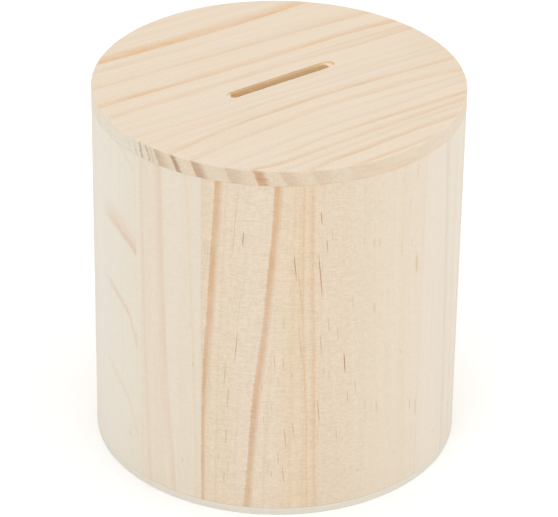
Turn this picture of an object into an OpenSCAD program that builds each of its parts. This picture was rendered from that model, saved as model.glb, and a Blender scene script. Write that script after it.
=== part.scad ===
// Round wooden money box: a drum of upright boards glued edge to edge, a flush
// lid board with a coin slot, a thin flush base and a push-in stopper.
// Units are millimetres. The origin is the middle of the underside, +Z is up and
// the coin slot runs along X. The front is towards -Y.

/* [Drum] */
// Outside diameter of the finished drum
drum_d = 100; // [90:1:120]
// Height of the drum, standing on its base
drum_h = 105; // [90:1:130]
// Thickness of the wall
wall_t = 8; // [6:0.5:10]
// Sanded-off width of the base's lower edge
edge_soft = 0.4; // [0.2:0.1:0.8]
// Gap round the base's register in the bore, for glue
glue_gap = 0.15; // [0.1:0.05:0.3]

/* [Staves] */
// Direction of the first glue joint, in degrees round from +X
joint_start = 163; // [0:1:359]
// Width of the first narrow stave, in degrees
narrow_a = 22.5; // [18:0.5:28]
// Width of the second narrow stave, in degrees
narrow_b = 24.5; // [18:0.5:28]
// Width of each of the two widest staves, in degrees
wide = 36.5; // [32:0.5:40]

/* [Lid] */
// Thickness of the lid board
lid_t = 4.3; // [3.5:0.1:6]
// Length of the through slot, end to end
slot_len = 32; // [28:0.5:34]
// Width of the coin slot
slot_w = 3.5; // [3:0.1:4.5]
// Distance of the slot's middle from the lid's middle, towards +X
slot_dx = 1; // [-2:0.1:2]
// Distance of the slot's middle from the lid's middle, towards +Y
slot_dy = 0.9; // [-2:0.1:2]
// Length of the router's shallow first pass, which overruns the slot
pass_len = 34.8; // [34.4:0.1:37]
// Depth of the shallow first pass
pass_t = 0.6; // [0.4:0.1:1]

/* [Base] */
// Thickness of the base where it shows
base_t = 2; // [1.8:0.1:3]
// Depth of the base's register inside the bore
base_register_h = 3; // [2:0.5:4]
// Diameter of the coin outlet
outlet_d = 30; // [28:0.5:32]
// Diameter of the recess that takes the stopper's flange
recess_d = 37; // [36:0.5:40]

/* [Stopper] */
// Radial clearance of the stopper's shank in the outlet
stopper_fit = 0.08; // [0.02:0.01:0.1]
// Clearance round the flange
flange_gap = 0.5; // [0.3:0.1:0.8]
// Thickness of the flange
flange_t = 1.4; // [1:0.1:1.5]
// Height of the shank above the recess floor
shank_h = 6.5; // [5:0.5:9]
// Thickness of the shank's wall
shank_t = 2.2; // [1.6:0.1:3]

/* [Hidden] */
$fn = 96;

drum_r = drum_d / 2;
bore_r = drum_r - wall_t;
lid_z = drum_h - lid_t;              // underside of the lid, top of the staves
recess_z = base_t;                   // floor of the recess, level with the wall's foot
outlet_r = outlet_d / 2;
recess_r = recess_d / 2;
flange_r = recess_r - flange_gap;
flange_z = base_t - flange_t;        // underside of the flange, above the table
shank_r = outlet_r - stopper_fit;
shank_top = recess_z + shank_h;

// Eleven staves: two narrow ones, two wide ones and seven that share the rest.
stave_count = 11;
equal = (360 - narrow_a - narrow_b - 2 * wide) / (stave_count - 4);
function stave_w(i) = i == 0 ? narrow_a : i == 1 ? narrow_b : i < 4 ? wide : equal;
function joint_at(i) = i == 0 ? joint_start : joint_at(i - 1) + stave_w(i - 1);

// A sector of the drum's plan, from angle a over width w, reaching past the wall.
module sector(a, w) {
    reach = drum_r * 1.4;
    polygon([[0, 0],
             [reach * cos(a), reach * sin(a)],
             [reach * cos(a + w / 2), reach * sin(a + w / 2)],
             [reach * cos(a + w), reach * sin(a + w)]]);
}

// One upright board of the wall: turned outside, bored inside, and jointed on
// radial faces.
module stave(i) {
    intersection() {
        translate([0, 0, base_t]) difference() {
            cylinder(h = lid_z - base_t, r = drum_r);
            translate([0, 0, -1]) cylinder(h = lid_z - base_t + 2, r = bore_r);
        }
        translate([0, 0, base_t - 1]) linear_extrude(height = lid_z - base_t + 2)
            sector(joint_at(i), stave_w(i));
    }
}

module stave_01() { color([0.90, 0.86, 0.79]) stave(0); }
module stave_02() { color([0.89, 0.84, 0.76]) stave(1); }
module stave_03() { color([0.89, 0.82, 0.72]) stave(2); }
module stave_04() { color([0.90, 0.83, 0.74]) stave(3); }
module stave_05() { color([0.91, 0.86, 0.79]) stave(4); }
module stave_06() { color([0.89, 0.83, 0.73]) stave(5); }
module stave_07() { color([0.90, 0.85, 0.77]) stave(6); }
module stave_08() { color([0.88, 0.82, 0.72]) stave(7); }
module stave_09() { color([0.91, 0.86, 0.78]) stave(8); }
module stave_10() { color([0.89, 0.83, 0.74]) stave(9); }
module stave_11() { color([0.90, 0.85, 0.77]) stave(10); }

// Straight-sided slot with round ends, as a router bit leaves it.
module routed_slot(length, depth) {
    straight = length - slot_w;
    translate([-straight / 2, -slot_w / 2, 0]) cube([straight, slot_w, depth]);
    for (side = [-1, 1])
        translate([side * straight / 2, 0, 0]) cylinder(h = depth, d = slot_w);
}

// Through slot, with the shallow pass that overruns it a little more at its +X end.
module coin_slot() {
    translate([slot_dx, slot_dy, lid_z - 1]) routed_slot(slot_len, lid_t + 2);
    translate([slot_dx + 0.4, slot_dy, drum_h - pass_t]) routed_slot(pass_len, pass_t + 1);
}

// Round lid board, glued flat on the staves' end grain and turned flush with them.
module lid_disc() {
    color([0.93, 0.84, 0.70]) difference() {
        translate([0, 0, lid_z]) cylinder(h = lid_t, r = drum_r);
        coin_slot();
    }
}

// Base plate: thin where it shows, with a register inside the bore, the coin
// outlet through the middle and a recess below for the stopper's flange.
module base_disc() {
    color([0.90, 0.84, 0.74]) difference() {
        rotate_extrude()
            polygon([[0, 0],
                     [drum_r - edge_soft, 0],
                     [drum_r, edge_soft],
                     [drum_r, base_t],
                     [bore_r - glue_gap, base_t],
                     [bore_r - glue_gap, base_t + base_register_h],
                     [0, base_t + base_register_h]]);
        translate([0, 0, -1]) cylinder(h = base_t + base_register_h + 2, r = outlet_r);
        translate([0, 0, -1]) cylinder(h = recess_z + 1, r = recess_r);
        // thumbnail notch, to lever the stopper out
        translate([0, -recess_r - 1, -1]) cylinder(h = recess_z + 1, r = 5);
    }
}

// Moulded stopper: a flange that lies in the recess and a hollow shank that
// grips the outlet, with a lead-in chamfer at its top.
module stopper() {
    color([0.13, 0.13, 0.14])
        rotate_extrude()
            polygon([[0, flange_z + 0.3],
                     [outlet_r - 4, flange_z + 0.3],
                     [outlet_r - 3.4, flange_z],
                     [flange_r - 0.3, flange_z],
                     [flange_r, flange_z + 0.3],
                     [flange_r, recess_z],
                     [shank_r, recess_z],
                     [shank_r, shank_top - 1],
                     [shank_r - 0.8, shank_top],
                     [shank_r - shank_t, shank_top],
                     [shank_r - shank_t, recess_z + 0.4],
                     [0, recess_z + 0.4]]);
}

lid_disc();
stave_01();
stave_02();
stave_03();
stave_04();
stave_05();
stave_06();
stave_07();
stave_08();
stave_09();
stave_10();
stave_11();
base_disc();
stopper();
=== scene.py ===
import math

import bpy
import numpy as np
from mathutils import Matrix, Vector


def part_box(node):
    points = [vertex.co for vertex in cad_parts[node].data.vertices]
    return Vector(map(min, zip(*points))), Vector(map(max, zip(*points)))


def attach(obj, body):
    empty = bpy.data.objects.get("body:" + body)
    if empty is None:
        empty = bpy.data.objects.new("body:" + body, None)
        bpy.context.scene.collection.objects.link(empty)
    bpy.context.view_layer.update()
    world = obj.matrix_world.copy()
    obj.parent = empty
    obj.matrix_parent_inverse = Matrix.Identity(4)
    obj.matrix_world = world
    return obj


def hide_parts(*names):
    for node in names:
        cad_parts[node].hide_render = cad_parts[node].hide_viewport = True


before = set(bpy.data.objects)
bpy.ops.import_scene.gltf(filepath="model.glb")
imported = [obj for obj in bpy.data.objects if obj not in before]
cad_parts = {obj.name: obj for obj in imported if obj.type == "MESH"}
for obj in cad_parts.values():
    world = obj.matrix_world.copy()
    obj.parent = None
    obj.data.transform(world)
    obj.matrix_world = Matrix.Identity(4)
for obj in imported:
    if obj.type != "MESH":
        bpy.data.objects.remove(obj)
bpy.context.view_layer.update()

MM = 0.001
scene = bpy.context.scene

# ---------------------------------------------------------------- sizes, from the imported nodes
lid_lo, lid_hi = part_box("lid_disc")
base_lo, base_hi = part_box("base_disc")
stv_lo, stv_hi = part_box("stave_04")
stp_lo, stp_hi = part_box("stopper")
R = lid_hi[0] / MM                    # outside radius of the drum, 50
TOP = lid_hi[2] / MM                  # top of the lid, 105
LID_Z = stv_hi[2] / MM                # underside of the lid's visible edge
LID_FOOT = lid_lo[2] / MM             # underside of the lid's register
BASE_Z = stv_lo[2] / MM               # top of the base's visible edge
BASE_HEAD = base_hi[2] / MM           # top of the base's register
FL_Z = stp_lo[2] / MM                 # underside of the stopper's flange
FL_R = stp_hi[0] / MM                 # radius of the stopper's flange
STP_TOP = stp_hi[2] / MM              # top of the stopper's shank
BORE = R - 8.0
REG = BORE - 0.15
OUT_R, REC_R = 15.0, 18.5
SHANK_R = OUT_R - 0.08
SLOT_L, SLOT_W = 32.0, 3.5             # the through slot
PASS_L, PASS_T = 34.8, 0.6             # the shallow pass that overruns it
SLOT_X, SLOT_Y, PASS_X = 1.0, 0.9, 1.4
JOINTS = [-70.0, -47.5, -23.0, 13.5, 50.0]
for i in range(6):
    JOINTS.append(50.0 + (240.0 / 7.0) * (i + 1))
JOINTS.append(290.0)                  # joint directions in degrees, 0 at the drum's near side
SIDE = -127.0                         # near side's direction, round from +X


# ---------------------------------------------------------------- mesh helpers
def smooth_noise(n, seed, cells):
    """n values of smooth closed noise in -1..1 round a ring."""
    rng = np.random.default_rng(seed)
    k = np.arange(1, cells + 1)
    a = rng.normal(size=cells) / np.sqrt(k)
    p = rng.uniform(0, 2 * np.pi, cells)
    t = np.linspace(0, 2 * np.pi, n, endpoint=False)[:, None]
    v = (a * np.sin(k * t + p)).sum(1)
    return v / max(1e-9, np.abs(v).max())


def make_object(name, verts, faces, mat, smooth_angle=35.0):
    me = bpy.data.meshes.new(name)
    me.from_pydata([tuple(v) for v in verts], [], faces)
    me.validate()
    me.materials.append(mat)
    ob = bpy.data.objects.new(name, me)
    scene.collection.objects.link(ob)
    me.shade_smooth()
    me.set_sharp_from_angle(angle=math.radians(smooth_angle))
    return ob


def skin(name, loops, mat, closed=False, caps=(False, False), smooth_angle=35.0):
    """A mesh over rings of the same count; closed joins the last ring to the first, a cap closes an end on its own middle."""
    loops = [np.asarray(l, float) for l in loops]
    n, m = len(loops[0]), len(loops)
    verts = np.concatenate(loops) * MM
    faces = []
    for j in range(m if closed else m - 1):
        a, b = j * n, ((j + 1) % m) * n
        for i in range(n):
            k = (i + 1) % n
            faces.append((a + i, a + k, b + k, b + i))
    verts = [tuple(v) for v in verts]
    for end, want in enumerate(caps):
        if want:
            j = 0 if end == 0 else m - 1
            c = loops[j].mean(0) * MM
            verts.append(tuple(c))
            ci = len(verts) - 1
            for i in range(n):
                k = (i + 1) % n
                faces.append((ci, j * n + k, j * n + i) if end == 0 else (ci, j * n + i, j * n + k))
    return make_object(name, verts, faces, mat, smooth_angle)


def face_out(ob):
    """Turns every face outwards."""
    import bmesh
    bm = bmesh.new()
    bm.from_mesh(ob.data)
    bmesh.ops.recalc_face_normals(bm, faces=bm.faces)
    if bm.calc_volume(signed=True) < 0:
        bmesh.ops.reverse_faces(bm, faces=bm.faces)
    bm.to_mesh(ob.data)
    bm.free()


def ring(r, z, n, wob=None):
    t = np.linspace(0, 2 * np.pi, n, endpoint=False)
    rr = np.full(n, float(r)) if wob is None else r + wob
    return np.stack([rr * np.cos(t), rr * np.sin(t), np.full(n, float(z))], 1)


def stadium(n, length, width, z, grow=0.0, cx=0.0, cy=0.0):
    """n points round a straight slot with round ends, from the +X tip."""
    s, r = (length - width) / 2, width / 2
    per = 4 * s + 2 * math.pi * r
    out = []
    for i in range(n):
        d = per * i / n
        q = math.pi * r / 2
        rr = r + grow
        if d < q:
            a = d / r
            p = (s + rr * math.cos(a), rr * math.sin(a))
        elif d < q + 2 * s:
            p = (s - (d - q), rr)
        elif d < 3 * q + 2 * s:
            a = math.pi / 2 + (d - q - 2 * s) / r
            p = (-s + rr * math.cos(a), rr * math.sin(a))
        elif d < 3 * q + 4 * s:
            p = (-s + (d - 3 * q - 2 * s), -rr)
        else:
            a = -math.pi / 2 + (d - 3 * q - 4 * s) / r
            p = (s + rr * math.cos(a), rr * math.sin(a))
        out.append((p[0] + cx, p[1] + cy, z))
    return np.array(out)


# ---------------------------------------------------------------- node maths
class S:
    """A socket in a node tree that arithmetic can be done on."""

    def __init__(self, g, sock):
        self.g, self.sock = g, sock

    def _m(self, op, *others, clamp=False):
        return self.g.math(op, self, *others, clamp=clamp)

    def __add__(self, o): return self._m("ADD", o)
    __radd__ = __add__
    def __sub__(self, o): return self._m("SUBTRACT", o)
    def __rsub__(self, o): return self.g.math("SUBTRACT", o, self)
    def __mul__(self, o): return self._m("MULTIPLY", o)
    __rmul__ = __mul__
    def __truediv__(self, o): return self._m("DIVIDE", o)
    def __neg__(self): return self._m("MULTIPLY", -1.0)


class G:
    """Builds one material's nodes."""

    def __init__(self, name):
        self.mat = bpy.data.materials.new(name)
        self.mat.use_nodes = True
        self.nt = self.mat.node_tree
        self.nt.nodes.clear()
        self.out = self.nt.nodes.new("ShaderNodeOutputMaterial")
        self.bsdf = self.nt.nodes.new("ShaderNodeBsdfPrincipled")
        self.nt.links.new(self.bsdf.outputs[0], self.out.inputs[0])

    def put(self, inp, v):
        if isinstance(v, S):
            self.nt.links.new(v.sock, inp)
        elif isinstance(v, (tuple, list)) and len(v) == 3 and inp.type == "RGBA":
            inp.default_value = (*v, 1.0)
        else:
            inp.default_value = v

    def node(self, kind, **props):
        n = self.nt.nodes.new(kind)
        for k, v in props.items():
            setattr(n, k, v)
        return n

    def math(self, op, *a, clamp=False):
        n = self.node("ShaderNodeMath", operation=op, use_clamp=clamp)
        for i, v in enumerate(a):
            self.put(n.inputs[i], v)
        return S(self, n.outputs[0])

    def madd(self, a, b, c, clamp=False): return self.math("MULTIPLY_ADD", a, b, c, clamp=clamp)
    def mn(self, a, b): return self.math("MINIMUM", a, b)
    def mx(self, a, b): return self.math("MAXIMUM", a, b)
    def absv(self, a): return self.math("ABSOLUTE", a)

    def ramp(self, x, a, b, lo=0.0, hi=1.0, smooth=True):
        n = self.node("ShaderNodeMapRange", interpolation_type="SMOOTHSTEP" if smooth else "LINEAR", clamp=True)
        for i, v in enumerate((x, a, b, lo, hi)):
            self.put(n.inputs[i], v)
        return S(self, n.outputs[0])

    def coords(self):
        n = self.node("ShaderNodeTexCoord")
        v = self.node("ShaderNodeVectorMath", operation="SCALE")
        self.nt.links.new(n.outputs["Object"], v.inputs[0])
        v.inputs["Scale"].default_value = 1000.0
        return S(self, v.outputs[0])

    def split(self, v):
        n = self.node("ShaderNodeSeparateXYZ")
        self.put(n.inputs[0], v)
        return tuple(S(self, o) for o in n.outputs)

    def vec(self, x=0.0, y=0.0, z=0.0):
        n = self.node("ShaderNodeCombineXYZ")
        for i, v in enumerate((x, y, z)):
            self.put(n.inputs[i], v)
        return S(self, n.outputs[0])

    def spin(self, v, degrees):
        n = self.node("ShaderNodeVectorRotate", rotation_type="Z_AXIS")
        self.put(n.inputs["Vector"], v)
        n.inputs["Angle"].default_value = math.radians(degrees)
        return S(self, n.outputs[0])

    def vmadd(self, v, mul, add):
        n = self.node("ShaderNodeVectorMath", operation="MULTIPLY_ADD")
        self.put(n.inputs[0], v)
        n.inputs[1].default_value = mul
        n.inputs[2].default_value = add
        return S(self, n.outputs[0])

    def length(self, v):
        n = self.node("ShaderNodeVectorMath", operation="LENGTH")
        self.put(n.inputs[0], v)
        return S(self, n.outputs["Value"])

    def noise(self, v, scale=1.0, detail=2.0, rough=0.5, dims="3D", distort=0.0):
        """Noise centred on 0, about -1 to 1."""
        n = self.node("ShaderNodeTexNoise", noise_dimensions=dims)
        if dims == "1D":
            self.put(n.inputs["W"], v)
        else:
            self.put(n.inputs["Vector"], v)
        n.inputs["Scale"].default_value = scale
        n.inputs["Detail"].default_value = detail
        n.inputs["Roughness"].default_value = rough
        n.inputs["Distortion"].default_value = distort
        return self.madd(S(self, n.outputs[0]), 2.0, -1.0)

    def cells(self, v, scale=1.0, rand=1.0):
        """Distance to the nearest of scattered points, and that point's own random colour."""
        n = self.node("ShaderNodeTexVoronoi", voronoi_dimensions="2D", feature="F1")
        self.put(n.inputs["Vector"], v)
        n.inputs["Scale"].default_value = scale
        n.inputs["Randomness"].default_value = rand
        return S(self, n.outputs["Distance"]), S(self, n.outputs["Color"])

    def curve(self, t, pts, lo, hi):
        """A smooth curve of t (0..1) through pts (t, value), for values from lo to hi."""
        n = self.node("ShaderNodeFloatCurve")
        self.put(n.inputs["Value"], t)
        c = n.mapping.curves[0]
        pts = sorted(pts)
        c.points[0].location = (pts[0][0], (pts[0][1] - lo) / (hi - lo))
        c.points[1].location = (pts[-1][0], (pts[-1][1] - lo) / (hi - lo))
        for x, y in pts[1:-1]:
            c.points.new(x, (y - lo) / (hi - lo))
        for p in c.points:
            p.handle_type = "AUTO_CLAMPED"
        n.mapping.update()
        o = S(self, n.outputs[0])
        return o if (lo, hi) == (0.0, 1.0) else self.madd(o, hi - lo, lo)

    def mix(self, f, a, b, kind="MIX"):
        n = self.node("ShaderNodeMix", data_type="RGBA", blend_type=kind, clamp_factor=True)
        self.put(n.inputs[0], f)
        self.put(n.inputs[6], a)
        self.put(n.inputs[7], b)
        return S(self, n.outputs[2])

    def bump(self, height, distance, strength=1.0, normal=None):
        n = self.node("ShaderNodeBump")
        self.put(n.inputs["Height"], height)
        n.inputs["Distance"].default_value = distance
        n.inputs["Strength"].default_value = strength
        if normal is not None:
            self.put(n.inputs["Normal"], normal)
        return S(self, n.outputs[0])

    def finish(self, color, rough, normal, spec=0.35):
        self.put(self.bsdf.inputs["Base Color"], color)
        self.put(self.bsdf.inputs["Roughness"], rough)
        if normal is not None:
            self.put(self.bsdf.inputs["Normal"], normal)
        self.bsdf.inputs["Specular IOR Level"].default_value = spec
        return self.mat


LIGHT = 1.185


def rgb(r, g, b, k=1.0):
    """A display colour, 0 to 255, as the surface colour that shows it under this scene's light."""
    out = []
    for c in (r, g, b):
        c = c / 255.0
        c = c / 12.92 if c <= 0.04045 else ((c + 0.055) / 1.055) ** 2.4
        out.append(min(0.95, c * k / LIGHT))
    return tuple(out)


# ---------------------------------------------------------------- wood
DEG = math.pi / 180
PER_DEG = R * DEG                      # millimetres round the wall for a degree


def lean(T):
    """How far the grain leans at direction T, in degrees for a millimetre of height."""
    t = min(1.0, max(0.0, (T + 6.0) / 8.0))
    t = t * t * (3 - 2 * t)
    far = min(1.0, max(0.0, (T - 10.0) / 25.0))
    return 0.085 + t * (-0.115 - 0.085) + far * 0.075


# resin canals: (direction, lowest z, highest z, half width in mm, strength)
CANALS = [
    (-12.4, 79, 100, 0.16, 0.38), (-10.0, 83, 87, 0.24, 0.85), (-11.9, 47, 57.5, 0.2, 0.62),
    (-15.4, 39, 47, 0.2, 0.5), (-14.4, 33, 39.5, 0.2, 0.55), (-14.9, 21.5, 26, 0.18, 0.5),
    (-17.2, 15, 20, 0.16, 0.4), (-14.2, 12.5, 15.5, 0.18, 0.45), (-15.5, 9.8, 12.2, 0.22, 0.5),
    (-20.9, 76, 81, 0.14, 0.3), (-11.0, 61, 68, 0.13, 0.25),
    (5.5, 73, 80.5, 0.22, 0.8), (7.1, 60, 79, 0.16, 0.4), (7.4, 47, 60, 0.16, 0.42),
    (2.3, 58.5, 62, 0.16, 0.5), (-0.3, 47, 50, 0.18, 0.4), (2.4, 45.5, 50, 0.18, 0.5),
    (3.2, 21.5, 28, 0.19, 0.62), (5.7, 24.5, 29.5, 0.18, 0.5), (-3.9, 39.5, 41.3, 0.22, 0.5),
    (1.2, 17, 20, 0.17, 0.42), (2.8, 10.5, 16, 0.18, 0.5), (-1.9, 13.5, 17, 0.15, 0.3),
    (-3.4, 29, 31.5, 0.15, 0.32), (-1.0, 33, 35, 0.15, 0.3), (0.9, 41.5, 44, 0.15, 0.3),
    (13.0, 89.5, 92.5, 0.22, 0.8), (13.1, 67, 80.5, 0.23, 0.85), (13.7, 49.5, 56, 0.18, 0.5),
    (13.3, 29, 36, 0.2, 0.6), (13.2, 22.5, 27, 0.17, 0.42), (12.4, 60, 63, 0.15, 0.3),
    (15.0, 80.5, 84.5, 0.2, 0.6), (16.5, 84.5, 87, 0.17, 0.4), (15.9, 57, 61, 0.18, 0.45),
    (18.9, 54, 57.5, 0.17, 0.42), (23.5, 62, 66.5, 0.17, 0.42), (21.3, 43, 49.5, 0.27, 0.9),
    (25.0, 36, 40.5, 0.18, 0.45), (22.6, 33.5, 37.5, 0.2, 0.5), (19.2, 22.5, 26.5, 0.18, 0.42),
    (14.7, 43, 46.5, 0.15, 0.32), (16.4, 41.5, 44.5, 0.16, 0.32),
    (30.2, 79.8, 81.6, 0.55, 0.26), (32.0, 80.0, 81.6, 0.5, 0.22), (30.9, 59.5, 62.5, 0.5, 0.36),
    (28.6, 29.5, 33, 0.35, 0.26), (32.8, 27.5, 32, 0.4, 0.3), (46.5, 24.5, 27.5, 0.25, 0.42),
    (49.2, 21.5, 27, 0.27, 0.52), (47.2, 67, 72.5, 0.55, 0.5), (44.6, 75.5, 78, 0.4, 0.28),
    (40.6, 74.5, 77.5, 0.45, 0.24), (43.6, 85, 90, 0.3, 0.2), (46.3, 95, 100, 0.45, 0.22),
    (26.6, 81.5, 83.2, 0.3, 0.3), (33.5, 62, 66, 0.3, 0.16), (36.0, 44, 47, 0.3, 0.15),
]

TAN = (219, 178, 132)
AMBER = (212, 172, 130)
ROSE = (221, 187, 160)
GOLD = (226, 202, 158)
GREY = (216, 198, 176)
PEACH = (221, 185, 148)

# growth lines of the near staves: (points (z, direction), sharp side's width, soft side's width, strength, colour)
# a positive soft width lies to the right of the line, a negative one to the left
LINES = {
    1: [
        ([(0, -42.2), (10, -42.6), (30, -43.5), (50, -44.2), (70, -44.7), (105, -44.9)], 0.5, 1.0, 0.34, ROSE),
        ([(0, -31.9), (10, -32.5), (25, -34.0), (40, -35.0), (60, -36.0), (80, -36.7), (105, -37.4)], 0.5, -2.6, 0.36, ROSE),
        ([(0, -24.6), (20, -24.9), (40, -25.5), (65, -26.5), (80, -27.0), (95, -27.9), (105, -28.8)], 0.35, 0.7, 0.42, GOLD),
    ],
    2: [
        ([(0, -22.85), (10, -22.8), (30, -22.6), (40, -22.3), (50, -21.8), (60, -21.0), (70, -20.4), (80, -19.7), (90, -19.0), (105, -18.4)],
         0.35, 2.3, 0.92, AMBER),
        ([(0, -9.1), (4, -8.9), (10, -8.5), (20, -7.8), (30, -7.1), (40, -6.2), (50, -4.9), (60, -3.7), (70, -2.9), (80, -2.0), (90, -1.1), (105, -0.3)],
         0.45, 2.15, 0.86, AMBER),
        ([(0, 13.2), (10, 12.9), (20, 12.5), (35, 12.3), (50, 11.8), (65, 11.3), (80, 10.9), (105, 10.4)], 0.35, -1.5, 0.66, PEACH),
        ([(0, 10.3), (10, 10.1), (20, 9.8), (30, 9.5), (50, 8.4), (105, 7.6)], 0.3, 0.6, 0.5, TAN),
        ([(0, 8.9), (20, 8.6), (40, 8.1), (60, 7.4), (105, 6.4)], 0.6, 1.2, 0.26, PEACH),
        ([(0, -18.2), (30, -18.0), (60, -16.9), (105, -14.9)], 0.4, 0.7, 0.2, TAN),
        ([(0, -12.2), (30, -11.6), (60, -10.2), (105, -8.2)], 0.5, 0.9, 0.14, PEACH),
        ([(0, -3.6), (30, -2.6), (60, -0.6), (105, 1.8)], 0.4, 0.8, 0.18, PEACH),
        ([(0, 4.8), (30, 4.6), (60, 4.6), (85, 4.9), (105, 5.2)], 0.5, 0.9, 0.16, TAN),
        ([(0, -15.6), (30, -15.9), (45, -15.5), (60, -14.7), (75, -14.0), (105, -12.5)], 0.9, 1.2, 0.2, GOLD),
    ],
    3: [
        ([(0, 27.5), (50, 27.2), (105, 26.5)], 1.2, 1.6, 0.12, GREY),
        ([(0, 36.5), (50, 35.6), (105, 34.8)], 1.2, 2.5, 0.1, GREY),
        ([(0, 42.5), (50, 41.5), (105, 40.0)], 1.6, 2.8, 0.14, GOLD),
    ],
    4: [
        ([(0, 66.3), (25, 65.6), (50, 64.5), (75, 63.2), (105, 61.2)], 0.6, 2.6, 0.42, GREY),
        ([(0, 72.5), (30, 71.5), (60, 70.8), (105, 69.6)], 0.6, 2.2, 0.3, GOLD),
        ([(0, 80.0), (50, 79.5), (105, 79.0)], 0.8, 2.4, 0.3, TAN),
    ],
    10: [
        ([(0, 278.5), (50, 279.0), (105, 279.8)], 0.6, -2.2, 0.22, GREY),
        ([(0, 272.0), (50, 271.2), (105, 270.0)], 0.6, -2.4, 0.45, TAN),
    ],
}
# arcs of a flat-sawn board: (points (direction, z), half width above, half width below, strength)
ARCS = {
    0: [
        ([(-70, 77.4), (-66.7, 76.8), (-63.7, 76.2), (-57.5, 75.4), (-52.2, 73.6), (-47.5, 71.2)], 7.6, 1.5, 0.8),
        ([(-70, 59.0), (-68.7, 58.2), (-66.2, 57.0), (-58.5, 54.5), (-53, 51.8), (-51, 49.8), (-49.5, 46.8), (-47.5, 42.5)], 3.0, 1.3, 0.62),
        ([(-70, 33), (-62, 30), (-57, 27.5), (-52, 23.5), (-47.5, 14)], 2.6, 1.6, 0.26),
        ([(-70, 103), (-60, 102), (-53, 99), (-47.5, 94)], 2.4, 1.4, 0.14),
    ],
}
# ground colours across each stave: (direction, colour) pairs, left to right
GROUND = {
    0: [(-70, (233, 226, 212)), (-60, (232, 224, 209)), (-47.5, (230, 221, 204))],
    1: [(-47.5, (231, 221, 203)), (-44, (230, 217, 198)), (-37, (230, 216, 197)), (-34, (231, 220, 202)), (-27, (230, 218, 198)), (-24.5, (229, 218, 199))],
    2: [(-23, (228, 208, 181)), (-17, (229, 211, 187)), (-8, (230, 213, 191)), (-1, (230, 212, 188)), (3, (229, 209, 181)), (8, (229, 207, 179)), (10.5, (229, 209, 183))],
    3: [(13.5, (228, 209, 185)), (20, (228, 210, 186)), (28, (229, 213, 190)), (38, (231, 216, 196)), (50, (231, 217, 197))],
    4: [(50, (232, 219, 201)), (55, (233, 221, 205)), (64, (232, 220, 204)), (72, (231, 222, 206)), (85, (232, 221, 205))],
    10: [(255, (231, 217, 197)), (275, (232, 221, 205)), (284, (232, 224, 210)), (290, (233, 227, 214))],
}


def line_field(g, side, t, pts, span, sharp, soft, wob, flat=1.0):
    """0 to 1: how strongly a growth line shows at `side`, in mm off its middle. pts are (t in 0..1, place in `span`)."""
    c = g.curve(t, pts, *span)
    d = (side - c) + wob
    if soft < 0:
        d, soft = -d, -soft
    near = g.madd(d, 1.0 / sharp, 1.0, clamp=True)
    far = g.madd(d, -flat / soft, flat, clamp=True)
    return near * far


def ground(g, T, stops):
    """A colour that runs through the stops as T rises."""
    col = rgb(*stops[0][1])
    for (a, ca), (b, cb) in zip(stops, stops[1:]):
        col = g.mix(g.ramp(T, a, b), col, rgb(*cb))
    return col


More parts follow.
